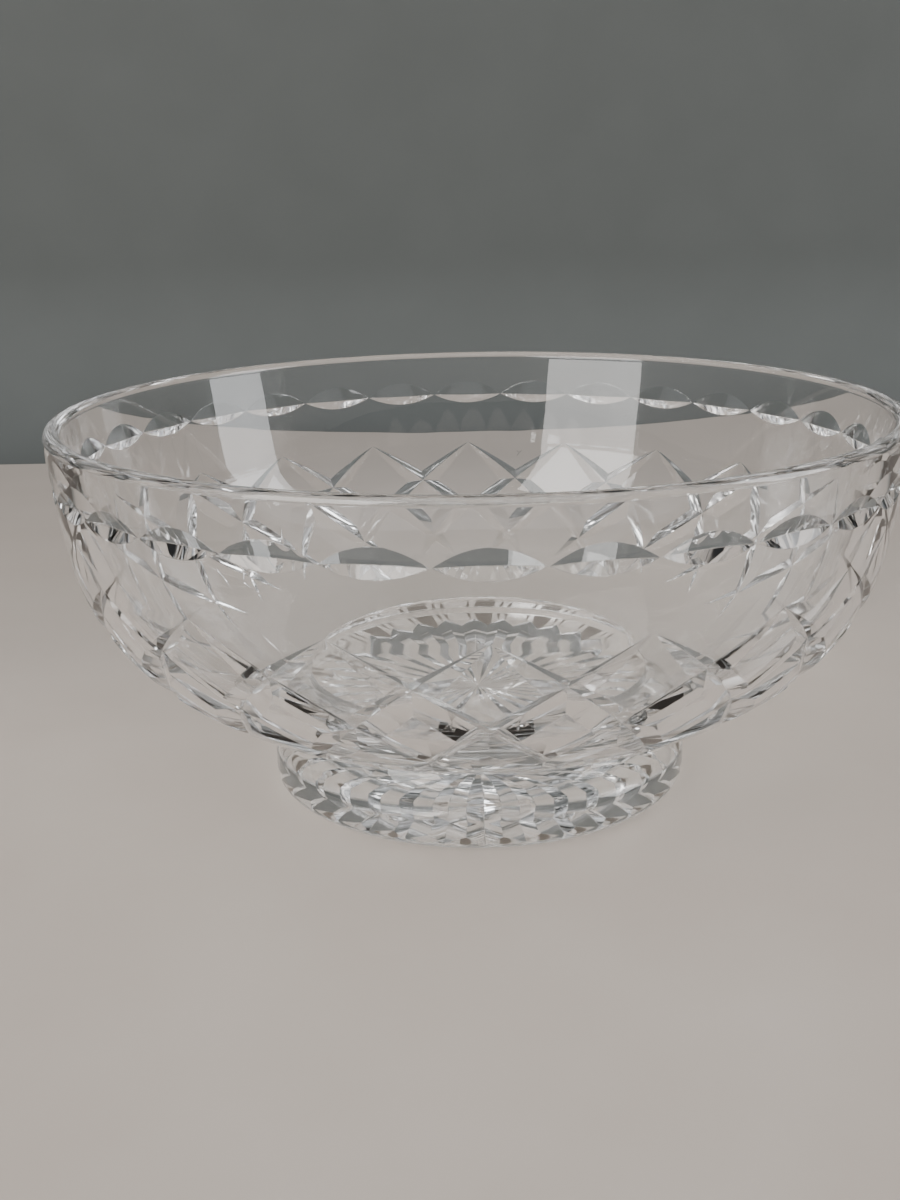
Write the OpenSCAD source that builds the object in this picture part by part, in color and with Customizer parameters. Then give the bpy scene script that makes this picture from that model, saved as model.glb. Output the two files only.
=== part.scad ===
// Footed punch bowl in cut glass, 250 mm across the rim.
// Two pieces of glass: the blown and cut bowl, and the foot fused under it.
// Origin on the surface the foot rests on, at the centre of the foot, +Z up.
// One diamond and one lens of the cut pattern face -Y.

/* [Bowl] */
// Outer diameter at the rim (mm)
rim_d = 250; // [208:1:300]
// Height from the table to the top of the lip (mm)
bowl_h = 115; // [96:1:138]
// Wall thickness at the lip (mm)
lip_wall = 4.8; // [4:0.1:6]
// Wall thickness round the shoulder, before cutting (mm)
shoulder_wall = 7.5; // [6.5:0.1:8.4]

/* [Foot] */
// Greatest diameter of the foot (mm)
foot_d = 129; // [108:1:155]
// Height of the foot up to the fused joint (mm)
foot_h = 22; // [18:0.5:26]
// How far the foot stands out past the fused joint (mm)
foot_out = 9.5; // [8:0.5:14]

/* [Cutting] */
// Lenses in the ring under the lip
lens_count = 30; // [20:1:30]
// Length of one lens round the bowl (mm)
lens_l = 25.5; // [18:0.5:25.5]
// Height of one lens (mm)
lens_h = 7.7; // [5:0.1:9]
// Diamonds round the bowl
diamond_count = 20; // [12:1:24]
// Half angle of the diagonal mitre cuts (degrees)
mitre_half = 66; // [58:1:68]
// Rays of the star under the foot
ray_count = 32; // [16:1:36]
// Half angle of the star rays (degrees)
ray_half = 69; // [66:1:74]

/* [Hidden] */
$fn = 96;

rim_r = rim_d / 2;
lip_r = lip_wall / 2;
lip_z = bowl_h - lip_r;
lip_slope = 18;
joint_r = foot_d / 2 - foot_out;

// The body is drawn once, between a drawn joint and a drawn lip, and then stretched to its rim and
// height. Walls, lip and foot keep the sizes that are set.
drawn_rim = 125;
drawn_joint = 22;
drawn_lip = 112.6;
body = rim_r / drawn_rim;
rise = (lip_z - foot_h) / (drawn_lip - drawn_joint);

// Outer outline as drawn: a nearly upright arc, a tight shoulder and a wide bottom arc, all tangent.
// Arc angles are measured down from the horizontal, at the arc's own centre.
shoulder = [59, drawn_lip - 21.4];
shoulder_r = 63.1;
upper_end = 10;
lower_start = 52;
rim_edge = [drawn_rim, drawn_lip];
joint_edge = [joint_r / body, drawn_joint];

// Inner outline as drawn: the same shoulder centre, and a bottom arc centred on the axis.
inner_r = shoulder_r - shoulder_wall / body;
inner_upper_end = 15;
inner_lower_start = 75;
inner_edge = [(rim_r - lip_wall) / body, drawn_lip];

// Lens ring: each lens is where a V-edged wheel with an upright axis bites the wall.
lens_drop = 13.8;
lens_wheel_r = 60;

// Mitre cuts as drawn: planar circular V-grooves that start from a peak and run down to both sides.
// The V leans square to the wall where the cut is deepest, and its flanks are long enough that the
// cutter's outer face stays clear of the wall all along.
peak_drop = 32.2;
mitre_r = 78.5;
mitre_turn = 43.75;
mitre_tilt = 36.5;
mitre_heading = 63.4;
mitre_lean = 44;
mitre_side = 9;
mitre_lead = 6;
mitre_sweep = 76;
mitre_steps = 7;

// Foot outline: a rounded edge, and a hollow fillet up to the joint.
rest_round = 3;
edge_round = 4.5;
edge_z = 8.5;
edge_x = foot_d / 2 - edge_round;
edge_out = edge_x - joint_r;
edge_up = foot_h - edge_z;
fillet_r = (pow(edge_out, 2) + pow(edge_up, 2) - pow(edge_round, 2)) / (2 * (edge_out + edge_round));
fillet_x = joint_r + fillet_r;

// Star: straight V rays that deepen from the centre, inside the ring that the foot rests on.
star_r = foot_d / 2 - 8;
star_low = 1;
star_high = 3.4;

// How far a cutter runs past the face it starts from.
past = 1;

function down(a) = [cos(a), -sin(a)];
function fitted(p) = [p[0] * body, foot_h + (p[1] - drawn_joint) * rise];
function dot(u, v) = u[0] * v[0] + u[1] * v[1];

// Radius of the circle that leaves point t with normal n and passes through point p.
function tangent_r(t, n, p) = dot(t - p, t - p) / (2 * dot(n, t - p));

// Points of an arc, between two angles down from the horizontal at its centre.
function arc(centre, r, a0, a1, steps) = [for (i = [0:steps]) centre + r * down(a0 + (a1 - a0) * i / steps)];

// Points of the arc that leaves a shoulder arc of radius r at angle a and ends at point p.
function outward(r, a, p, steps) =
    let (
        start = shoulder + r * down(a),
        far_r = tangent_r(start, down(a), p),
        centre = start - far_r * down(a),
        end = atan2(centre[1] - p[1], p[0] - centre[0])
    )
    [for (i = [1:steps]) centre + far_r * down(a + (end - a) * i / steps)];

// Points of the arc that leaves the inner shoulder arc at angle a and ends level on the axis.
function to_axis(r, a, steps) =
    let (
        start = shoulder + r * down(a),
        far_r = start[0] / cos(a),
        centre = start - far_r * down(a)
    )
    [for (i = [1:steps]) centre + far_r * down(a + (90 - a) * i / steps)];

function reversed(points) = [for (i = [len(points) - 1:-1:0]) points[i]];

// Half section of the bowl, from the joint up the outside, round the lip and down the hollow.
module blank_outline() {
    outside = concat(
        reversed(outward(shoulder_r, lower_start, joint_edge, 5)),
        arc(shoulder, shoulder_r, lower_start, upper_end, 8),
        outward(shoulder_r, upper_end, rim_edge, 3)
    );
    lip = arc([rim_r - lip_r, lip_z], lip_r, -lip_slope, lip_slope - 180, 8);
    hollow = concat(
        reversed(outward(inner_r, inner_upper_end, inner_edge, 3)),
        arc(shoulder, inner_r, inner_upper_end, inner_lower_start, 10),
        to_axis(inner_r, inner_lower_start, 5)
    );
    polygon(concat(
        [[0, foot_h]],
        [for (p = outside) fitted(p)],
        lip,
        [for (p = hollow) fitted(p)]
    ));
}

// Bowl before cutting.
module blank() {
    rotate_extrude()
        blank_outline();
}

// Radius of the wall at a height on its nearly upright arc.
function wall_x(z) =
    let (
        start = shoulder + shoulder_r * down(upper_end),
        far_r = tangent_r(start, down(upper_end), rim_edge),
        centre = start - far_r * down(upper_end),
        drawn_z = drawn_joint + (z - foot_h) / rise
    )
    body * (centre[0] + sqrt(pow(far_r, 2) - pow(centre[1] - drawn_z, 2)));

// Edge of a horizontal wheel that has bitten one lens into the wall facing -Y.
module lens_cutter() {
    lens_z = lip_z - lens_drop;
    wall = wall_x(lens_z);
    depth = lens_l * lens_l / 8 * (1 / lens_wheel_r + 1 / wall);
    half = atan(lens_h / 2 / depth);
    side = 2 * depth;
    spread = side * tan(half);
    bite = 40;
    translate([0, -(wall - depth + lens_wheel_r), lens_z])
        rotate([0, 0, 90 - bite / 2])
            rotate_extrude(angle = bite)
                polygon([[lens_wheel_r, 0], [lens_wheel_r - side, spread], [lens_wheel_r - side, -spread]]);
}

function turned(p, a) = [p[0] * cos(a) - p[1] * sin(a), p[0] * sin(a) + p[1] * cos(a), p[2]];
function tilted(p, a) = [p[0] * cos(a) + p[2] * sin(a), p[1], p[2] * cos(a) - p[0] * sin(a)];

// Place of a mitre point, given its radius, turn and offset on the mitre's own leaning circle.
function mitre_point(c, t) =
    let (
        peak_z = drawn_lip - peak_drop,
        peak_x = shoulder[0] + sqrt(pow(shoulder_r, 2) - pow(shoulder[1] - peak_z, 2)),
        arm = mitre_r * [cos(mitre_heading), sin(mitre_heading), 0],
        on_circle = turned([c[0] * cos(t), c[0] * sin(t), c[1]], 180 + mitre_heading) + arm,
        drawn = [0, -peak_x, peak_z] + turned(tilted(on_circle, mitre_tilt), mitre_turn)
    )
    [drawn[0] * body, drawn[1] * body, foot_h + (drawn[2] - drawn_joint) * rise];

// One diagonal V-groove, from the peak facing -Y down to the right: a trough that bends in short
// flat lengths round a circle, with its edge on the circle and its two flanks outside it.
module mitre_cutter() {
    edge = [mitre_r, 0];
    upper = edge + mitre_side * down(mitre_lean - mitre_half);
    lower = edge + mitre_side * down(mitre_lean + mitre_half);
    points = [
        for (i = [0:mitre_steps])
            for (c = [edge, upper, lower])
                mitre_point(c, i * mitre_sweep / mitre_steps - mitre_lead)
    ];
    flanks = [
        for (i = [0:mitre_steps - 1])
            for (k = [0:2])
                let (next = (k + 1) % 3)
                    [3 * i + k, 3 * i + 3 + k, 3 * i + 3 + next, 3 * i + next]
    ];
    last = 3 * mitre_steps;
    polyhedron(points, concat([[0, 1, 2]], flanks, [[last + 2, last + 1, last]]));
}

// The blown bowl with its ring of lenses cut under the lip.
module with_lenses() {
    difference() {
        blank();
        for (i = [0:lens_count - 1])
            rotate([0, 0, i * 360 / lens_count])
                lens_cutter();
    }
}

// Bowl with its ring of lenses and its band of diamonds.
module bowl() {
    color([0.9, 0.93, 0.95, 0.6])
        difference() {
            difference() {
                with_lenses();
                for (i = [0:diamond_count - 1])
                    rotate([0, 0, i * 360 / diamond_count])
                        mitre_cutter();
            }
            for (i = [0:diamond_count - 1])
                rotate([0, 0, i * 360 / diamond_count])
                    mirror([1, 0, 0])
                        mitre_cutter();
        }
}

// Half section of the foot, without the star.
module foot_outline() {
    difference() {
        union() {
            square([foot_d / 2 - rest_round, edge_z]);
            translate([0, rest_round])
                square([foot_d / 2, edge_z - rest_round]);
            translate([foot_d / 2 - rest_round, rest_round])
                circle(rest_round);
            translate([edge_x, edge_z])
                circle(edge_round);
            translate([0, edge_z])
                square([edge_x, edge_up]);
        }
        translate([fillet_x, foot_h])
            circle(fillet_r);
    }
}

// Star-shaped hollow with flat facets: valleys and ridges fan out from its centre.
module star() {
    last = 2 * ray_count - 1;
    ridge = star_high - star_r * sin(180 / ray_count) / tan(ray_half);
    heights = [star_high, ridge];
    ring = [for (i = [0:last]) star_r * [cos(i * 180 / ray_count), sin(i * 180 / ray_count)]];
    top = [for (i = [0:last]) [ring[i][0], ring[i][1], heights[i % 2]]];
    base = [for (i = [0:last]) [ring[i][0], ring[i][1], -past]];
    count = last + 1;
    polyhedron(
        concat(top, base, [[0, 0, star_low], [0, 0, -past]]),
        concat(
            [for (i = [0:last]) [2 * count, (i + 1) % count, i]],
            [for (i = [0:last]) [i, (i + 1) % count, count + (i + 1) % count, count + i]],
            [for (i = [0:last]) [2 * count + 1, count + i, count + (i + 1) % count]]
        )
    );
}

// Foot with the star cut into its underside.
module foot() {
    color([0.86, 0.9, 0.93, 0.6])
        difference() {
            rotate_extrude()
                foot_outline();
            star();
        }
}

bowl();
foot();
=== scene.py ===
# %% [markdown]
# # A footed punch bowl in cut glass
#
# The real object is two gathers of clear glass. The bowl is blown thick, its lip is rounded in the
# flame, and then a wheel cuts a ring of lenses and a band of diagonal mitres into the outside. The
# foot is pressed, fused on hot, and gets a star cut underneath.
#
# The CAD frame gives every size. This lesson builds a finer skin for both pieces, so that light
# bends through true curves and crisp cuts, and it never moves the frame itself.

import math

import bpy
import numpy as np
from mathutils import Matrix, Vector


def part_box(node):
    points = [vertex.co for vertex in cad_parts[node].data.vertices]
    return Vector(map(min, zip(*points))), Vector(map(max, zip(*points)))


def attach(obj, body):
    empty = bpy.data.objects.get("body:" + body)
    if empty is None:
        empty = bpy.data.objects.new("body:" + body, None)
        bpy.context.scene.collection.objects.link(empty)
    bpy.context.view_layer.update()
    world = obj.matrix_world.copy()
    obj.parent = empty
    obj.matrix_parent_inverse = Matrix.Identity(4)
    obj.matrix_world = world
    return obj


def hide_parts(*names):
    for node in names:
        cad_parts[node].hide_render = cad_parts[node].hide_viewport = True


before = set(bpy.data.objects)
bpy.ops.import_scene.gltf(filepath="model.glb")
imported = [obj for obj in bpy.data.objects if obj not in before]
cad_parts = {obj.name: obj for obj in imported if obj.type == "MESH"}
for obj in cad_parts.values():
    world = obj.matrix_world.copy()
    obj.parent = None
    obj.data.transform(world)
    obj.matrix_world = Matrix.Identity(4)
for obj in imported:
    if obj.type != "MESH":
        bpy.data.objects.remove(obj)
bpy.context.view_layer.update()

# %% [markdown]
# ## Measures
#
# The rim, the height, the joint and the foot come from the boxes of the CAD nodes. The rest is named
# here in metres and degrees. Outline, lenses and mitres have the same values as the part. The star is
# about as deep as the part's, but its rays fade out where those end in a short wall.

# %% Measures
MM = 0.001
_, bowl_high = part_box("bowl")
_, foot_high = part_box("foot")

rim_r = bowl_high.x
foot_r = foot_high.x
joint_z = foot_high.z
waist_r = foot_r - 9.5 * MM
lip_wall = 4.8 * MM
lip_r = lip_wall / 2
lip_z = bowl_high.z - lip_r
shoulder_wall = 7.5 * MM

shoulder = np.array([59 * MM, lip_z - 21.4 * MM])
shoulder_r = 63.1 * MM
upper_end, lower_start = 10, 52
inner_r = shoulder_r - shoulder_wall
inner_upper_end, inner_lower_start = 15, 75

lens_count, diamond_count, ray_count = 30, 20, 32
around = 240

lens_l, lens_h, lens_drop = 25.5 * MM, 7.7 * MM, 13.8 * MM
lens_wheel_r, lens_surface_r = 60 * MM, 123.8 * MM
lens_side, lens_sweep = 6.5 * MM, 28

peak_drop = 32.2 * MM
mitre_r, mitre_half, mitre_lean, mitre_side = 78.5 * MM, 66, 44, 9 * MM
mitre_turn, mitre_tilt, mitre_heading = 43.75, 36.5, 63.4
mitre_lead, mitre_sweep = 6, 76

star_r = foot_r - 8 * MM
star_low, star_rise, star_turn = 0.6 * MM, 0.07, 36 * MM
star_flank = 1 / math.tan(math.radians(69))
star_wheel_r = (star_r - star_turn) ** 2 / (2 * (star_low + star_rise * star_r))
star_rings, star_columns = 13, 8
print("rim radius", round(rim_r, 4), "lip height", round(lip_z, 4), "joint height", round(joint_z, 4))

# %% [markdown]
# ## Outlines
#
# A lathe shape is a list of stretches, each an arc or a line. Glass bends light by the way its
# surface faces, so a stretch also knows its facing at any point, and how far a point lies off it.
# Later the same two questions give every corner of the cut mesh its true facing.


# %% Outline tools
def down(angle):
    """Unit direction at an angle, in degrees, turned down from the horizontal."""
    a = np.radians(angle)
    return np.array([np.cos(a), -np.sin(a)])


def depression(centre, point):
    """Angle of a point seen from a centre, in degrees down from the horizontal."""
    return math.degrees(math.atan2(centre[1] - point[1], point[0] - centre[0]))


def arc(centre, radius, start, end, steps, sign=1):
    """A stretch of a circle: the centre plus the radius times the direction at each angle.
    sign is 1 where the glass is inside the circle, and -1 where it is outside."""
    centre = np.asarray(centre, float)
    points = np.array([centre + radius * down(a) for a in np.linspace(start, end, steps + 1)])
    return {"points": points, "centre": centre, "radius": radius, "ends": (start, end), "sign": sign}


def line(start, end, facing, steps):
    """A straight stretch, which has the same facing all along."""
    share = np.linspace(0, 1, steps + 1)[:, None]
    points = np.asarray(start) * (1 - share) + np.asarray(end) * share
    return {"points": points, "facing": np.array(facing, float)}


def onward(radius, angle, target, steps, sign=1):
    """The arc that carries a shoulder arc on to a target point. It is tangent where it starts:
    its radius is the squared gap over twice the gap's share along the shared facing."""
    start = shoulder + radius * down(angle)
    gap = start - np.asarray(target)
    far_radius = gap @ gap / (2 * down(angle) @ gap)
    centre = start - far_radius * down(angle)
    return arc(centre, far_radius, angle, depression(centre, target), steps, sign)


def backwards(stretch):
    """The same stretch, run from its end to its start."""
    return {**stretch, "points": stretch["points"][::-1]}


def facing_on(stretch, spots):
    """Facing of a stretch at spots in the section: away from an arc's centre, or a line's own."""
    if "facing" in stretch:
        return np.tile(stretch["facing"], (len(spots), 1))
    ray = spots - stretch["centre"]
    return stretch["sign"] * ray / np.linalg.norm(ray, axis=1, keepdims=True)


def miss_of(stretch, spots):
    """How far spots lie off a stretch: off its circle or line, plus how far past its ends."""
    first, last = stretch["points"][0], stretch["points"][-1]
    if "facing" in stretch:
        along = (last - first) / np.linalg.norm(last - first)
        run = (spots - first) @ along
        past = np.maximum(0, np.maximum(-run, run - np.linalg.norm(last - first)))
        return np.abs((spots - first) @ stretch["facing"]) + past
    ray = spots - stretch["centre"]
    angle = np.degrees(np.arctan2(-ray[:, 1], ray[:, 0]))
    middle = sum(stretch["ends"]) / 2
    half = abs(stretch["ends"][1] - stretch["ends"][0]) / 2
    turn = np.abs((angle - middle + 180) % 360 - 180)
    past = np.radians(np.maximum(0, turn - half)) * stretch["radius"]
    return np.abs(np.linalg.norm(ray, axis=1) - stretch["radius"]) + past


quarter = arc((0, 0), 10 * MM, 0, 90, 2)
print("a quarter circle in millimetres:", (quarter["points"] / MM).round(2).tolist())

# %% [markdown]
# ## The two outlines
#
# The bowl's runs from the axis along the fused disc, up the outside, round the lip and down the
# hollow to the axis again. The foot's runs along its base, round its edge, up the hollow fillet and
# back along the fused disc. Both keep the arcs of the CAD part, with more points.


# %% Outlines of the bowl and the foot
def bowl_outline():
    """Stretches of the bowl's outline, in order round the section."""
    low_point = shoulder + inner_r * down(inner_lower_start)
    bottom_r = low_point[0] / math.cos(math.radians(inner_lower_start))
    bottom_centre = low_point - bottom_r * down(inner_lower_start)
    return {
        "joint": line((0, joint_z), (waist_r, joint_z), (0, -1), 6),
        "under": backwards(onward(shoulder_r, lower_start, (waist_r, joint_z), 16)),
        "shoulder": arc(shoulder, shoulder_r, lower_start, upper_end, 24),
        "wall": onward(shoulder_r, upper_end, (rim_r, lip_z), 12),
        "lip": arc((rim_r - lip_r, lip_z), lip_r, 0, -180, 14),
        "inner_wall": backwards(onward(inner_r, inner_upper_end, (rim_r - lip_wall, lip_z), 10, -1)),
        "inner_shoulder": arc(shoulder, inner_r, inner_upper_end, inner_lower_start, 22, -1),
        "inner_bottom": arc(bottom_centre, bottom_r, inner_lower_start, 90, 16, -1),
    }


def foot_outline():
    """Stretches of the foot's outline, in order round the section."""
    rest_round, edge_round, edge_z = 3 * MM, 4.5 * MM, 8.5 * MM
    edge = np.array([foot_r - edge_round, edge_z])
    out, up = edge[0] - waist_r, joint_z - edge_z
    fillet_r = (out**2 + up**2 - edge_round**2) / (2 * (out + edge_round))
    fillet = np.array([waist_r + fillet_r, joint_z])
    meeting = depression(fillet, edge)
    return {
        "base": line((0, 0), (foot_r - rest_round, 0), (0, -1), star_rings + 1),
        "rest_edge": arc((foot_r - rest_round, rest_round), rest_round, 90, 0, 10),
        "side": line((foot_r, rest_round), (foot_r, edge_z), (1, 0), 4),
        "top_edge": arc(edge, edge_round, 0, meeting - 180, 12),
        "fillet": arc(fillet, fillet_r, meeting, 180, 14, -1),
        "joint": line((waist_r, joint_z), (0, joint_z), (0, 1), 6),
    }


def outline_points(stretches):
    """The outline as one list of points, with the shared ends of neighbours kept once."""
    points = np.vstack([s["points"] for s in stretches.values()])
    step = np.linalg.norm(np.diff(points, axis=0), axis=1)
    return points[np.r_[True, step > 0.001 * MM]]


print("outline points:", len(outline_points(bowl_outline())), "and", len(outline_points(foot_outline())))

# %% [markdown]
# ## Turning on the lathe
#
# A closed outline turned round the axis gives a closed skin. The two ends on the axis become one
# point each, so no hole is left. -Y is the front, where one diamond and one lens face.


# %% Lathe
def turned(stretches, segments):
    """Vertices and faces of an outline turned round Z. A point at radius r and turn t lies at
    (r sin t, -r cos t)."""
    points = outline_points(stretches)
    rings = points[1:-1]
    t = 2 * np.pi * np.arange(segments) / segments
    x = rings[:, :1] * np.sin(t)
    y = -rings[:, :1] * np.cos(t)
    z = np.repeat(rings[:, 1:], segments, axis=1)
    poles = [[0, 0, points[0, 1]], [0, 0, points[-1, 1]]]
    vertices = np.vstack([np.stack([x, y, z], axis=-1).reshape(-1, 3), poles])
    here = np.arange(segments)
    after = (here + 1) % segments
    start = segments * np.arange(len(rings) - 1)[:, None]
    corners = (start + here, start + after, start + segments + after, start + segments + here)
    quads = np.stack(corners, axis=-1).reshape(-1, 4)
    last = segments * (len(rings) - 1)
    first_pole = len(vertices) - 2
    bottom = np.column_stack([np.full(segments, first_pole), after, here])
    top = np.column_stack([last + here, last + after, np.full(segments, first_pole + 1)])
    return vertices, quads.tolist() + bottom.tolist() + top.tolist()


def make_object(name, vertices, faces):
    """A mesh object at the origin, linked to the scene."""
    mesh = bpy.data.meshes.new(name)
    mesh.from_pydata(np.asarray(vertices).tolist(), [], faces)
    mesh.validate()
    item = bpy.data.objects.new(name, mesh)
    bpy.context.scene.collection.objects.link(item)
    return item


bowl = make_object("bowl_glass", *turned(bowl_outline(), around))
print("turned faces of the bowl:", len(bowl.data.polygons))

# %% [markdown]
# ## Cutting wheels
#
# Each cut is where a V edge on a circle meets the glass. A lens comes from a small wheel that stands
# upright beside the wall. A mitre follows a leaning circle round the bowl, deepest half-way down and
# fading out at the peak and near the foot. Both are bent bars with a three-cornered section, so one
# recipe makes them all, and it also tells later how each flank faces.


# %% Cutting tools
def turn_z(angle):
    """Rotation about Z, in degrees, as a 4 by 4 array."""
    return np.array(Matrix.Rotation(math.radians(angle), 4, "Z"))


def shift(x, y, z):
    """Translation as a 4 by 4 array."""
    return np.array(Matrix.Translation((x, y, z)))


def wheel(place, edge_r, flanks, reach, span):
    """A V edge at radius edge_r about the Z axis of its place. flanks are the two directions, in
    degrees, in which the V opens in its own section; span is the stretch of the circle used."""
    return {"place": place, "edge_r": edge_r, "flanks": flanks, "reach": reach, "span": span}


def lens_wheel():
    """The wheel of the lens that faces -Y. Its bite is length squared over 8, times the sum of the
    wheel's and the wall's curvature."""
    depth = lens_l**2 / 8 * (1 / lens_wheel_r + 1 / lens_surface_r)
    half = math.degrees(math.atan(lens_h / 2 / depth))
    place = shift(0, -(lens_surface_r - depth + lens_wheel_r), lip_z - lens_drop) @ turn_z(90)
    span = (-lens_sweep / 2, lens_sweep / 2)
    return wheel(place, lens_wheel_r, (180 - half, 180 + half), lens_side, span)


def mitre_wheel():
    """The circle of the mitre that starts at the peak facing -Y and runs down to the right."""
    peak_z = lip_z - peak_drop
    peak_r = shoulder[0] + math.sqrt(shoulder_r**2 - (shoulder[1] - peak_z) ** 2)
    lean_over = np.array(Matrix.Rotation(math.radians(mitre_tilt), 4, "Y"))
    arm = math.radians(mitre_heading)
    centre = shift(mitre_r * math.cos(arm), mitre_r * math.sin(arm), 0)
    peak = shift(0, -peak_r, peak_z) @ turn_z(mitre_turn)
    place = peak @ lean_over @ centre @ turn_z(180 + mitre_heading)
    flanks = (mitre_half - mitre_lean, -mitre_half - mitre_lean)
    return wheel(place, mitre_r, flanks, mitre_side, (-mitre_lead, mitre_sweep - mitre_lead))


def repeated(tool, count, mirrored=False):
    """The same wheel at equal turns round the bowl, as it is or seen in a mirror."""
    flip = np.diag([-1.0 if mirrored else 1.0, 1, 1, 1])
    return [{**tool, "place": turn_z(i * 360 / count) @ flip @ tool["place"]} for i in range(count)]


def section_area(section):
    """Signed area of a three-cornered section."""
    (ax, ay), (bx, by) = section[1] - section[0], section[2] - section[0]
    return (ax * by - ay * bx) / 2


def bar(tool, steps):
    """Vertices and faces of the bent bar that a wheel removes."""
    directions = np.radians(tool["flanks"])
    section = np.array([[tool["edge_r"], 0]] + [
        [tool["edge_r"] + tool["reach"] * math.cos(a), tool["reach"] * math.sin(a)] for a in directions
    ])
    t = np.radians(np.linspace(*tool["span"], steps + 1))[:, None]
    local = np.stack([section[:, 0] * np.cos(t), section[:, 0] * np.sin(t), section[:, 1] + 0 * t], axis=-1)
    vertices = local.reshape(-1, 3) @ tool["place"][:3, :3].T + tool["place"][:3, 3]
    here = np.array([0, 1, 2])
    after = np.array([1, 2, 0])
    start = 3 * np.arange(steps)[:, None]
    sides = np.stack((start + here, start + 3 + here, start + 3 + after, start + after), axis=-1)
    faces = sides.reshape(-1, 4).tolist() + [[0, 1, 2], [3 * steps + 2, 3 * steps + 1, 3 * steps]]
    if np.linalg.det(tool["place"][:3, :3]) * section_area(section) < 0:
        faces = [face[::-1] for face in faces]
    return vertices, faces


def bars(tools, steps):
    """All the bars of one set as one mesh."""
    vertices, faces, count = [], [], 0
    for tool in tools:
        v, f = bar(tool, steps)
        vertices.append(v)
        faces += [[count + k for k in face] for face in f]
        count += len(v)
    return np.vstack(vertices), faces


for name, tool in (("lens", lens_wheel()), ("mitre", mitre_wheel())):
    print(name, "wheel radius", round(tool["edge_r"], 4), "corners of its bar:", len(bar(tool, 10)[0]))

# %% [markdown]
# ## Cutting the bowl
#
# Bars of one set mustn't overlap, so the lenses go in two sets, every other one, and the mitres in
# a right-hand and a left-hand set. Each set is one Boolean difference, applied at once.


# %% Boolean cuts
def cut(target, vertices, faces):
    """Takes a mesh away from a target for good."""
    tool = make_object("cutter", vertices, faces)
    modifier = target.modifiers.new("cut", "BOOLEAN")
    modifier.operation = "DIFFERENCE"
    modifier.solver = "MANIFOLD"
    modifier.object = tool
    bpy.context.view_layer.update()
    evaluated = target.evaluated_get(bpy.context.evaluated_depsgraph_get())
    result = bpy.data.meshes.new_from_object(evaluated)
    target.modifiers.clear()
    before, target.data = target.data, result
    bpy.data.meshes.remove(before)
    bpy.data.meshes.remove(tool.data)
    result.name = target.name


lenses = repeated(lens_wheel(), lens_count)
mitres_right = repeated(mitre_wheel(), diamond_count)
mitres_left = repeated(mitre_wheel(), diamond_count, mirrored=True)
lens_steps, mitre_steps = 28, 64
lens_sets = [(lenses[::2], lens_steps), (lenses[1::2], lens_steps)]
for tools, steps in lens_sets + [(mitres_right, mitre_steps), (mitres_left, mitre_steps)]:
    cut(bowl, *bars(tools, steps))
    print("after", len(tools), "cuts:", len(bowl.data.polygons), "faces")

# %% [markdown]
# ## The foot and its star
#
# Each ray of the star is one pass of a V wheel. Its edge sinks evenly from the centre outwards and
# then leaves the glass along the wheel's round edge, so a ray ends in a soft point and the foot
# stands on the flat ring outside. Here the foot is turned first, and the rings of its base are then
# moved on to the star, with one column of vertices along every valley and every ridge.


# %% Foot with its star
def ray_depth(run):
    """Depth of a ray's edge at a run out from the centre: the depth in the middle plus an even
    rise, less the sagitta of the wheel past the turn."""
    past = np.maximum(0, run - star_turn)
    return star_low + star_rise * run - past**2 / (2 * star_wheel_r)


def ray_end(off):
    """Radius where a flank runs out of the glass, at an angle off the ray's middle: the larger root
    of the flank's quadratic."""
    middle = star_turn + star_wheel_r * (star_rise - star_flank * np.tan(off))
    return (middle + np.sqrt(middle**2 - star_turn**2 + 2 * star_wheel_r * star_low)) / np.cos(off)


def star_cut(vertices, segments):
    """The turned foot's vertices, with the rings of its base spread evenly from the centre to the
    end of each flank and raised to the flank's height."""
    spacing = 2 * np.pi / ray_count
    t = 2 * np.pi * np.arange(segments) / segments
    off = np.abs((t + spacing / 2) % spacing - spacing / 2)
    radius = np.arange(1, star_rings + 1)[:, None] / star_rings * ray_end(off)
    height = np.maximum(0, ray_depth(radius * np.cos(off)) - radius * np.sin(off) * star_flank)
    ring = np.stack([radius * np.sin(t), -radius * np.cos(t), height], axis=-1)
    vertices[: star_rings * segments] = ring.reshape(-1, 3)
    vertices[-2, 2] = star_low
    return vertices


foot_around = ray_count * star_columns
foot_vertices, foot_faces = turned(foot_outline(), foot_around)
foot = make_object("foot_glass", star_cut(foot_vertices, foot_around), foot_faces)
print("deepest point of the star, mm:", round(float(ray_depth(np.linspace(0, star_r, 200)).max()) / MM, 2))

# %% [markdown]
# ## True facings
#
# The Boolean cuts leave long thin faces, and light would follow their flat facets. So every face is
# matched to the surface that it belongs to, a stretch of the outline or a flank of a wheel, by how
# far it lies off and how far it faces away. Each corner then takes the exact facing of that surface.
# Edges between two surfaces stay crisp, and each surface is as smooth as the real polished glass.


# %% Surfaces to match
BLOWN, INSIDE, CUT, REST = 0.0, 1.0, 2.0, 3.0


def section_spots(points):
    """Points in space as (radius from the axis, height)."""
    return np.column_stack([np.hypot(points[:, 0], points[:, 1]), points[:, 2]])


def spin(points, facings):
    """Facings in the section, turned to the side where each point stands."""
    radius = np.maximum(np.hypot(points[:, 0], points[:, 1]), 1e-9)
    out = points[:, :2] / radius[:, None]
    return np.column_stack([out * facings[:, :1], facings[:, 1]])


def flank_facings(tool):
    """The two facings of a wheel's flanks in its section: square to a flank, towards the other."""
    directions = [np.array([math.cos(a), math.sin(a)]) for a in np.radians(tool["flanks"])]
    sides = [np.array([-d[1], d[0]]) for d in directions]
    return [s * np.sign(s @ other) for s, other in zip(sides, directions[::-1])], directions


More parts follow.
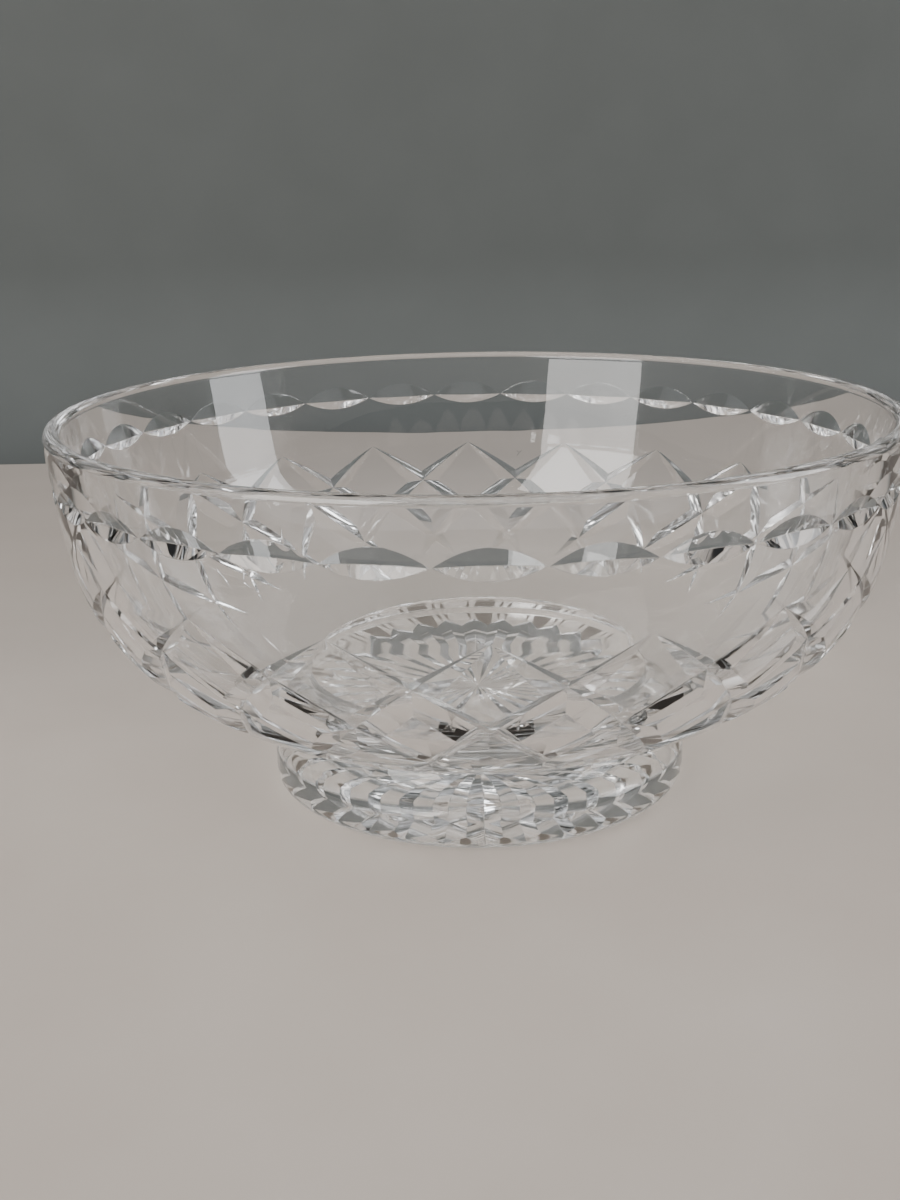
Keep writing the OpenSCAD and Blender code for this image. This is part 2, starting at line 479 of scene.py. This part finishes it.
def tool_view(tool, points):
    """Points in a wheel's own frame, and the frame's rotation."""
    back = np.linalg.inv(tool["place"])
    return points @ back[:3, :3].T + back[:3, 3], tool["place"][:3, :3]


class Surface:
    """A surface that a face can belong to. miss() is how far points lie off it, facing() how it
    faces at points; kind names its finish and joint says that it is the fused disc."""

    def __init__(self, kind, miss, facing, joint=False):
        self.kind, self.miss, self.facing, self.joint = kind, miss, facing, joint


def turned_surface(name, stretch, kind):
    """The surface that a stretch of an outline sweeps out."""
    return Surface(
        kind,
        lambda points: miss_of(stretch, section_spots(points)),
        lambda points: spin(points, facing_on(stretch, section_spots(points))),
        joint=name == "joint",
    )


def flank_surface(tool, which, kind):
    """One flank of one wheel."""
    facings, directions = flank_facings(tool)
    facing, direction = facings[which], directions[which]
    middle = math.radians(sum(tool["span"]) / 2)
    half = math.radians((tool["span"][1] - tool["span"][0]) / 2)

    def miss(points):
        local, _ = tool_view(tool, points)
        spots = section_spots(local) - [tool["edge_r"], 0]
        run = spots @ direction
        turn = np.arctan2(local[:, 1], local[:, 0]) - middle
        turn = np.abs((turn + np.pi) % (2 * np.pi) - np.pi)
        past = np.maximum(0, turn - half) * tool["edge_r"]
        return np.abs(spots @ facing) + np.maximum(0, np.maximum(-run, run - tool["reach"])) + past

    def facing_at(points):
        local, rotation = tool_view(tool, points)
        return spin(local, np.tile(facing, (len(local), 1))) @ rotation.T

    return Surface(kind, miss, facing_at)


def star_surface(ray, side):
    """One flank of one ray of the star, on one side of the ray's middle."""
    angle = ray * 360 / ray_count

    def along(points):
        """Run out from the centre, and distance from the ray's middle on this side."""
        local = points @ turn_z(angle)[:3, :3]
        return -local[:, 1], side * local[:, 0]

    def miss(points):
        run, across = along(points)
        off = np.arctan2(across, run)
        outside = np.maximum(0, np.abs(off - np.pi / ray_count / 2) - np.pi / ray_count / 2)
        height = ray_depth(run) - across * star_flank
        past = np.maximum(0, np.hypot(run, across) - star_r)
        return np.abs(points[:, 2] - height) + outside * np.hypot(run, across) + past

    def facing_at(points):
        run, _ = along(points)
        slope = star_rise - np.maximum(0, run - star_turn) / star_wheel_r
        across = np.full(len(run), -side * star_flank)
        facing = np.column_stack([across, -slope, np.full(len(run), -1.0)])
        facing /= np.linalg.norm(facing, axis=1, keepdims=True)
        return facing @ turn_z(angle)[:3, :3].T

    return Surface(CUT, miss, facing_at)


wall = turned_surface("wall", bowl_outline()["wall"], BLOWN)
rim_front = np.array([[0, -rim_r, lip_z]])
print("facing of the wall at the front of the rim:", wall.facing(rim_front)[0].round(3).tolist())

# %% [markdown]
# ## Matching faces to surfaces
#
# A face's centre has to lie on its surface, and the face has to look the same way. A face that is
# turned square away counts as 2 mm off, so a thin face beside a groove doesn't get the wrong flank.


# %% Matching
TURNED_AWAY = 2 * MM
TOO_FAR = 0.1 * MM


def read_mesh(mesh):
    """Corner positions, the face of each corner, face centres and face facings."""
    positions = np.empty(3 * len(mesh.vertices))
    mesh.vertices.foreach_get("co", positions)
    corner_vertex = np.empty(len(mesh.loops), int)
    mesh.loops.foreach_get("vertex_index", corner_vertex)
    sizes = np.empty(len(mesh.polygons), int)
    mesh.polygons.foreach_get("loop_total", sizes)
    centres = np.empty(3 * len(mesh.polygons))
    mesh.polygons.foreach_get("center", centres)
    normals = np.empty(3 * len(mesh.polygons))
    mesh.polygons.foreach_get("normal", normals)
    corners = positions.reshape(-1, 3)[corner_vertex]
    owner = np.repeat(np.arange(len(sizes)), sizes)
    return corners, owner, centres.reshape(-1, 3), normals.reshape(-1, 3)


def dress(item, surfaces):
    """Gives every corner its exact facing and every face its finish. A face that matches no
    surface, such as the end of a cut, keeps its own flat facing."""
    corners, owner, centres, normals = read_mesh(item.data)
    misses = np.array([surface.miss(centres) for surface in surfaces])
    aways = np.array([1 - np.sum(normals * surface.facing(centres), axis=1) for surface in surfaces])
    best = (misses + aways * TURNED_AWAY).argmin(axis=0)
    miss = misses[best, np.arange(len(centres))]
    flat = miss > TOO_FAR
    facings = normals[owner].copy()
    for index, surface in enumerate(surfaces):
        mine = (best[owner] == index) & ~flat[owner]
        facings[mine] = surface.facing(corners[mine])
    kinds = np.array([surface.kind for surface in surfaces], float)
    finish = item.data.attributes.new("finish", "FLOAT", "FACE")
    finish.data.foreach_set("value", np.where(flat, CUT, kinds[best]).astype(np.float32))
    fused = np.array([surface.joint for surface in surfaces])[best] & ~flat
    item.data.polygons.foreach_set("material_index", fused.astype(np.int32))
    item.data.polygons.foreach_set("use_smooth", np.ones(len(centres), bool))
    item.data.normals_split_custom_set(facings.tolist())
    item.data.update()
    print(item.name, "faces", len(centres), "flat", int(flat.sum()), "fused", int(fused.sum()))
    print("  largest distance to the matched surface, mm:", round(float(miss[~flat].max()) / MM, 3))


print("corners of the bowl's faces to be matched:", len(read_mesh(bowl.data)[0]))

# %% [markdown]
# ## Glass
#
# Lead crystal is nearly colourless and bends light strongly. Blown surfaces keep a faint waviness
# from the flame, cut flanks are flatter but slightly softer from the acid polish, and the plain band
# shows hair-fine scratches from years of washing. The disc where bowl and foot are fused is no
# surface at all in the real object, so its faces let everything pass.


# %% Material tools
HAIR_WIDTH = 0.012
SCRATCH_ROUGHNESS, SCRATCH_DEPTH, GROUND_ROUGHNESS = 0.12, 0.06, 0.35
WEAR_HEIGHT, EDGE_RADIUS = 0.12 * MM, 0.35 * MM


def new_material(name):
    """An empty node material and its tree."""
    material = bpy.data.materials.new(name)
    material.use_nodes = True
    tree = material.node_tree
    tree.nodes.clear()
    return material, tree


def add(tree, kind, **values):
    """Adds a node. Values named after inputs set those sockets; the rest are node properties."""
    node = tree.nodes.new(kind)
    for key, value in values.items():
        label = key.replace("_", " ")
        if label in node.inputs:
            node.inputs[label].default_value = value
        else:
            setattr(node, key, value)
    return node


def polish_group():
    """A shader node group with the wear of polished glass. Finish is the number on each face, and
    the other inputs say how much waviness, how many scratches and how soft the polish is. Waviness
    stays on blown glass, scratches on its outside, and the resting ring is ground."""
    group = bpy.data.node_groups.new("polished glass wear", "ShaderNodeTree")
    for name in ("Finish", "Waviness", "Scratches", "Softness"):
        group.interface.new_socket(name, in_out="INPUT", socket_type="NodeSocketFloat")
    for name in ("Roughness", "Height"):
        group.interface.new_socket(name, in_out="OUTPUT", socket_type="NodeSocketFloat")
    given = add(group, "NodeGroupInput")
    made = add(group, "NodeGroupOutput")

    def product(first, second):
        """The product of two values."""
        node = add(group, "ShaderNodeMath", operation="MULTIPLY")
        group.links.new(first, node.inputs[0])
        group.links.new(second, node.inputs[1])
        return node.outputs[0]

    def compared(operation, limit):
        """1 where the finish of the face is below, or above, a limit."""
        node = add(group, "ShaderNodeMath", operation=operation)
        group.links.new(given.outputs["Finish"], node.inputs[0])
        node.inputs[1].default_value = limit
        return node.outputs[0]

    place = add(group, "ShaderNodeTexCoord")
    wave = add(group, "ShaderNodeTexNoise", Scale=28.0, Detail=1.5, Roughness=0.4)
    group.links.new(place.outputs["Object"], wave.inputs["Vector"])
    blown = product(given.outputs["Waviness"], compared("LESS_THAN", (INSIDE + CUT) / 2))
    waviness = product(wave.outputs["Fac"], blown)

    bend = add(group, "ShaderNodeTexNoise", Scale=14.0, Detail=2.0)
    group.links.new(place.outputs["Object"], bend.inputs["Vector"])
    warp = add(group, "ShaderNodeVectorMath", operation="MULTIPLY_ADD")
    warp.inputs[1].default_value = (0.05, 0.05, 0.05)
    group.links.new(bend.outputs["Color"], warp.inputs[0])
    group.links.new(place.outputs["Object"], warp.inputs[2])
    hairs = add(group, "ShaderNodeTexVoronoi", feature="DISTANCE_TO_EDGE", Scale=55.0)
    group.links.new(warp.outputs["Vector"], hairs.inputs["Vector"])
    thin = add(group, "ShaderNodeMapRange", From_Min=0.0, From_Max=HAIR_WIDTH, To_Min=1.0, To_Max=0.0)
    group.links.new(hairs.outputs["Distance"], thin.inputs["Value"])
    patch = add(group, "ShaderNodeTexNoise", Scale=45.0, Detail=3.0)
    group.links.new(place.outputs["Object"], patch.inputs["Vector"])
    where = add(group, "ShaderNodeMapRange", From_Min=0.58, From_Max=0.66)
    group.links.new(patch.outputs["Fac"], where.inputs["Value"])
    outside = product(given.outputs["Scratches"], compared("LESS_THAN", (BLOWN + INSIDE) / 2))
    scratches = product(product(thin.outputs["Result"], where.outputs["Result"]), outside)

    grit = add(group, "ShaderNodeTexNoise", Scale=900.0, Detail=3.0)
    group.links.new(place.outputs["Object"], grit.inputs["Vector"])
    ground = product(grit.outputs["Fac"], compared("GREATER_THAN", (CUT + REST) / 2))

    rough = add(group, "ShaderNodeMath", operation="MULTIPLY_ADD")
    rough.inputs[1].default_value = SCRATCH_ROUGHNESS
    group.links.new(scratches, rough.inputs[0])
    group.links.new(given.outputs["Softness"], rough.inputs[2])
    worn = add(group, "ShaderNodeMath", operation="MULTIPLY_ADD")
    worn.inputs[1].default_value = GROUND_ROUGHNESS
    group.links.new(ground, worn.inputs[0])
    group.links.new(rough.outputs[0], worn.inputs[2])
    group.links.new(worn.outputs[0], made.inputs["Roughness"])
    height = add(group, "ShaderNodeMath", operation="MULTIPLY_ADD")
    height.inputs[1].default_value = -SCRATCH_DEPTH
    group.links.new(scratches, height.inputs[0])
    group.links.new(waviness, height.inputs[2])
    group.links.new(height.outputs[0], made.inputs["Height"])
    return group


polish = polish_group()


def glass_material(name, tint, waviness, scratches, softness):
    """Clear crystal with the wear group on its roughness and its bump. The edges between cuts are
    shaded as if rounded by a third of a millimetre, as the acid bath leaves them."""
    material, tree = new_material(name)
    out = add(tree, "ShaderNodeOutputMaterial")
    glass = add(tree, "ShaderNodeBsdfPrincipled", Base_Color=tint, Metallic=0.0, IOR=1.545)
    glass.inputs["Transmission Weight"].default_value = 1.0
    wear = add(tree, "ShaderNodeGroup", node_tree=polish)
    finish = add(tree, "ShaderNodeAttribute", attribute_name="finish")
    tree.links.new(finish.outputs["Fac"], wear.inputs["Finish"])
    wear.inputs["Waviness"].default_value = waviness
    wear.inputs["Scratches"].default_value = scratches
    wear.inputs["Softness"].default_value = softness
    edge = add(tree, "ShaderNodeBevel", samples=4, Radius=EDGE_RADIUS)
    bump = add(tree, "ShaderNodeBump", Strength=1.0, Distance=WEAR_HEIGHT)
    tree.links.new(edge.outputs["Normal"], bump.inputs["Normal"])
    tree.links.new(wear.outputs["Roughness"], glass.inputs["Roughness"])
    tree.links.new(wear.outputs["Height"], bump.inputs["Height"])
    tree.links.new(bump.outputs["Normal"], glass.inputs["Normal"])
    light = add(tree, "ShaderNodeLightPath")
    passing = add(tree, "ShaderNodeBsdfTransparent", Color=(0.86, 0.87, 0.87, 1))
    choice = add(tree, "ShaderNodeMixShader")
    tree.links.new(light.outputs["Is Shadow Ray"], choice.inputs["Fac"])
    tree.links.new(glass.outputs["BSDF"], choice.inputs[1])
    tree.links.new(passing.outputs["BSDF"], choice.inputs[2])
    tree.links.new(choice.outputs["Shader"], out.inputs["Surface"])
    return material


def fused_material(name):
    """The fused joint: glass on both sides, so nothing shows and nothing bends."""
    material, tree = new_material(name)
    out = add(tree, "ShaderNodeOutputMaterial")
    clear = add(tree, "ShaderNodeBsdfPrincipled", Alpha=0.0, Metallic=0.0)
    tree.links.new(clear.outputs["BSDF"], out.inputs["Surface"])
    return material


def finish_with(item, *materials):
    """Gives an object its materials, in the order of their index."""
    item.data.materials.clear()
    for material in materials:
        item.data.materials.append(material)


fused = fused_material("fused joint")
finish_with(bowl, glass_material("cut crystal", (0.985, 0.99, 0.992, 1), 1.0, 1.0, 0.006), fused)
finish_with(foot, glass_material("foot crystal", (0.98, 0.988, 0.99, 1), 0.8, 0.6, 0.008), fused)
print("materials:", [m.name for m in bpy.data.materials])

# %% [markdown]
# ## Facings and finish on every face
#
# The bowl's faces belong to its outline or to a flank of a cut, and the foot's to its outline or to a
# flank of the star. The counts below say how many faces found no surface, which should be none.

# %% Match every face of both pieces
inner = ("inner_wall", "inner_shoulder", "inner_bottom")
bowl_surfaces = [
    turned_surface(name, stretch, INSIDE if name in inner else BLOWN)
    for name, stretch in bowl_outline().items()
]
for tool in lenses + mitres_right + mitres_left:
    bowl_surfaces += [flank_surface(tool, which, CUT) for which in (0, 1)]
foot_surfaces = [
    turned_surface(name, stretch, REST if name == "base" else BLOWN)
    for name, stretch in foot_outline().items()
]
foot_surfaces += [star_surface(ray, side) for ray in range(ray_count) for side in (1, -1)]
dress(bowl, bowl_surfaces)
dress(foot, foot_surfaces)

# %% [markdown]
# ## Riding on the frame
#
# Both skins stand for their CAD node, ride on the one body and print the name of their slot.

# %% Ride and slots
for item, node, slot in ((bowl, "bowl", "bowl_glass"), (foot, "foot", "foot_glass")):
    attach(item, "root")
    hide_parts(node)
    print(item.name, "stands for", node, "in slot", slot)

# %% [markdown]
# ## Floor, light and camera
#
# Clear glass shows only what is around it, so the stage matters: a pale floor, a darker wall behind
# it, a sky that is dark at eye level and bright above, a wide soft light from the front left and a
# weaker one from the right. The differences between them draw the cuts.


# %% Stage
def plain_material(name, low_tint, high_tint, roughness):
    """A plain matt finish with a faint mottle."""
    material, tree = new_material(name)
    out = add(tree, "ShaderNodeOutputMaterial")
    matt = add(tree, "ShaderNodeBsdfPrincipled", Roughness=roughness)
    place = add(tree, "ShaderNodeTexCoord")
    mottle = add(tree, "ShaderNodeTexNoise", Scale=18.0, Detail=6.0)
    tree.links.new(place.outputs["Object"], mottle.inputs["Vector"])
    ramp = add(tree, "ShaderNodeValToRGB")
    ramp.color_ramp.elements[0].color = low_tint
    ramp.color_ramp.elements[1].color = high_tint
    tree.links.new(mottle.outputs["Fac"], ramp.inputs["Fac"])
    tree.links.new(ramp.outputs["Color"], matt.inputs["Base Color"])
    tree.links.new(matt.outputs["BSDF"], out.inputs["Surface"])
    return material


def make_floor():
    """A wide pale floor at the height on which the foot stands, and a grey backdrop behind it that
    the floor bends up into."""
    half, near, far, bend_r, top = 2.2, 2.0, 0.5, 0.12, 2.2
    t = np.radians(np.linspace(0, 90, 25))
    run = np.concatenate([[-near], far + bend_r * np.sin(t), [far + bend_r]])
    height = np.concatenate([[0.0], bend_r * (1 - np.cos(t)), [top]])
    left = np.column_stack([np.full(len(run), -half), run, height])
    right = left * [-1, 1, 1]
    count = len(run)
    faces = [[k, count + k, count + k + 1, k + 1] for k in range(count - 1)]
    floor = make_object("floor", np.vstack([left, right]), faces)
    floor.data.polygons.foreach_set("use_smooth", [True] * (count - 1))
    pale = plain_material("pale floor", (0.44, 0.38, 0.33, 1), (0.50, 0.44, 0.39, 1), 0.35)
    grey = plain_material("grey backdrop", (0.085, 0.092, 0.088, 1), (0.10, 0.108, 0.104, 1), 0.8)
    finish_with(floor, pale, grey)
    floor.data.polygons.foreach_set("material_index", [0] + [1] * (count - 2))
    return floor


def make_light(name, place, target, size, power, tint):
    """A rectangular soft light that faces a target."""
    data = bpy.data.lights.new(name, "AREA")
    data.shape = "RECTANGLE"
    data.size, data.size_y = size
    data.energy = power
    data.color = tint
    light = bpy.data.objects.new(name, data)
    light.location = place
    light.rotation_euler = (Vector(target) - Vector(place)).to_track_quat("-Z", "Y").to_euler()
    bpy.context.scene.collection.objects.link(light)
    return light


def make_world(horizon, zenith):
    """A sky that goes softly from the horizon's grey to the zenith's."""
    world = bpy.data.worlds.new("studio")
    bpy.context.scene.world = world
    world.use_nodes = True
    tree = world.node_tree
    tree.nodes.clear()
    out = add(tree, "ShaderNodeOutputWorld")
    sky = add(tree, "ShaderNodeBackground", Strength=1.0)
    place = add(tree, "ShaderNodeTexCoord")
    split = add(tree, "ShaderNodeSeparateXYZ")
    ramp = add(tree, "ShaderNodeValToRGB")
    ramp.color_ramp.elements[0].color = horizon
    ramp.color_ramp.elements[1].color = zenith
    tree.links.new(place.outputs["Generated"], split.inputs["Vector"])
    tree.links.new(split.outputs["Z"], ramp.inputs["Fac"])
    tree.links.new(ramp.outputs["Color"], sky.inputs["Color"])
    tree.links.new(sky.outputs["Background"], out.inputs["Surface"])


floor = make_floor()
make_world((0.02, 0.02, 0.022, 1), (1.0, 1.02, 1.05, 1))
middle = (0, 0, 0.05)
window = make_light("window", (-1.0, -1.1, 0.9), middle, (1.0, 1.2), 30, (1.0, 0.98, 0.96))
side = make_light("side", (1.5, -0.2, 0.8), middle, (0.6, 1.2), 16, (0.97, 0.98, 1.0))
print("floor", [round(length, 2) for length in floor.dimensions], "lights", window.name, side.name)

# %% [markdown]
# ## Camera
#
# The camera stands close, so the near rim looks wider than the far one, and high enough to look over
# the rim into the hollow.


# %% Camera
def make_camera():
    """A camera a forearm's length away, a little above the rim, as one looks at a bowl on a table.
    It stands slightly left of the front diamond, turned slightly left and tilted a little."""
    distance, height = 418.2 * MM, 182.2 * MM
    pitch, yaw, roll, round_z = map(math.radians, (17.08, -1.16, -1.08, -1.3))
    right = Vector((math.cos(yaw), -math.sin(yaw), 0))
    up = Vector((math.sin(pitch) * math.sin(yaw), math.sin(pitch) * math.cos(yaw), math.cos(pitch)))
    rolled_right = math.cos(roll) * right + math.sin(roll) * up
    rolled_up = -math.sin(roll) * right + math.cos(roll) * up
    back = rolled_right.cross(rolled_up)
    pose = Matrix((rolled_right, rolled_up, back)).transposed().to_4x4()
    pose.translation = (0, -distance, height)
    data = bpy.data.cameras.new("camera")
    data.sensor_width = 36
    data.lens = 42.14
    data.clip_start = 0.01
    camera = bpy.data.objects.new("camera", data)
    camera.matrix_world = Matrix.Rotation(round_z, 4, "Z") @ pose
    bpy.context.scene.collection.objects.link(camera)
    bpy.context.scene.camera = camera
    return camera


camera = make_camera()
print("camera stands at", [round(c, 3) for c in camera.matrix_world.translation])

# %% [markdown]
# ## Light paths
#
# A ray through cut glass crosses many surfaces, so it needs more bounces than usual.

# %% Bounces
cycles = bpy.context.scene.cycles
cycles.max_bounces = 32
cycles.transmission_bounces = 28
cycles.glossy_bounces = 12
cycles.transparent_max_bounces = 16
print("bounces in all:", cycles.max_bounces, "through glass:", cycles.transmission_bounces)
